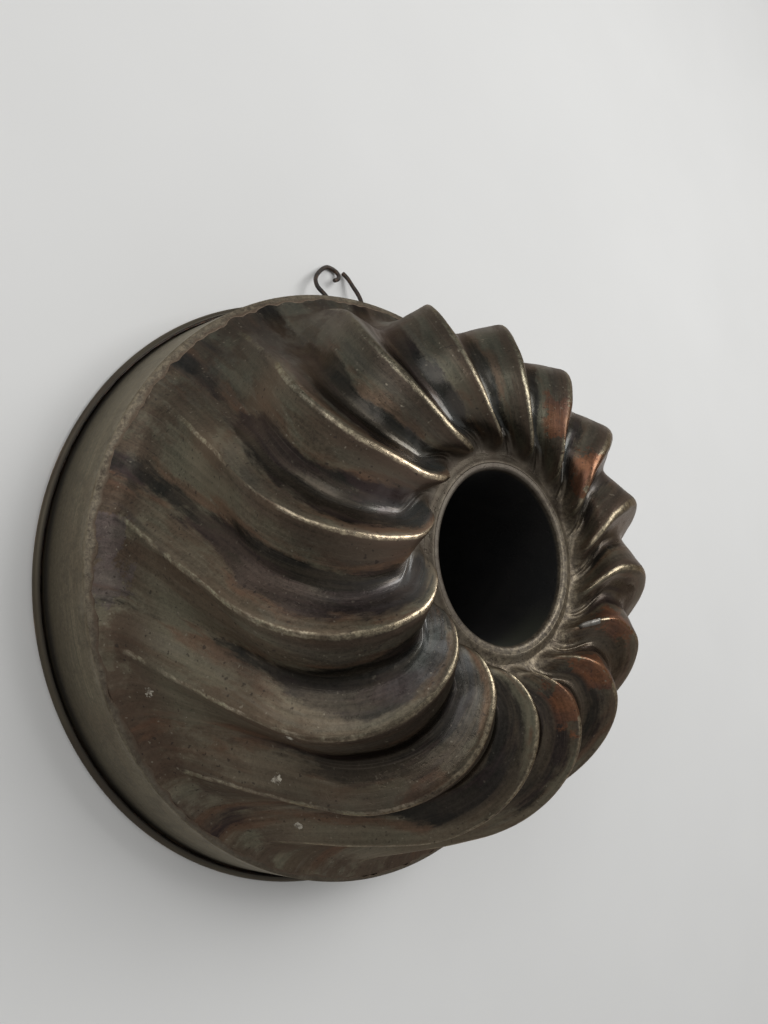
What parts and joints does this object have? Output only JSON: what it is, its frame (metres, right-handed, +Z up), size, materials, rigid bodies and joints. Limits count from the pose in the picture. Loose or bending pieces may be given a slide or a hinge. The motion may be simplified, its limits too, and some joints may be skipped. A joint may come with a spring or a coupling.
{
  "type": "turks head cake mould",
  "caption": "Fluted ring cake mould with swirled ridges, a plain wired band, a tapered centre tube and a swinging wire hanging loop.",
  "frame": {"origin": "centre of the whole footprint, hanging loop included, on the plane that the wired rim stands on; the mould's own turning axis is parallel to Z and passes 12.04 mm from it, at -Y", "axes": "+Z up out of the crown along the mould's turning axis, +Y towards the hanging loop, +X to the right seen from the open front"},
  "size_m": [0.24, 0.2642, 0.113],
  "materials": {
    "browned_copper": "browned copper, worn bright along the ridges",
    "worn_band": "grey-brown brushed copper with traces of tin and solder",
    "tinned_tube": "dull grey tinned copper, dark inside",
    "dark_iron": "blackened iron wire"
  },
  "bodies": {
    "mould": {"fluted_shell": "browned_copper", "collar_band": "worn_band", "rim_wire": "dark_iron", "centre_tube": "tinned_tube", "loop_strap": "browned_copper", "strap_rivet_lower": "dark_iron", "strap_rivet_upper": "dark_iron"},
    "loop": {"hanging_loop": "dark_iron"}
  },
  "joints": [
    {"name": "loop_swing", "type": "hinge", "parent": "mould", "child": "loop", "pos_m": [0, 0.10527, 0.013], "axis": [1, 0, 0], "range_deg": [-45, 120]}
  ]
}
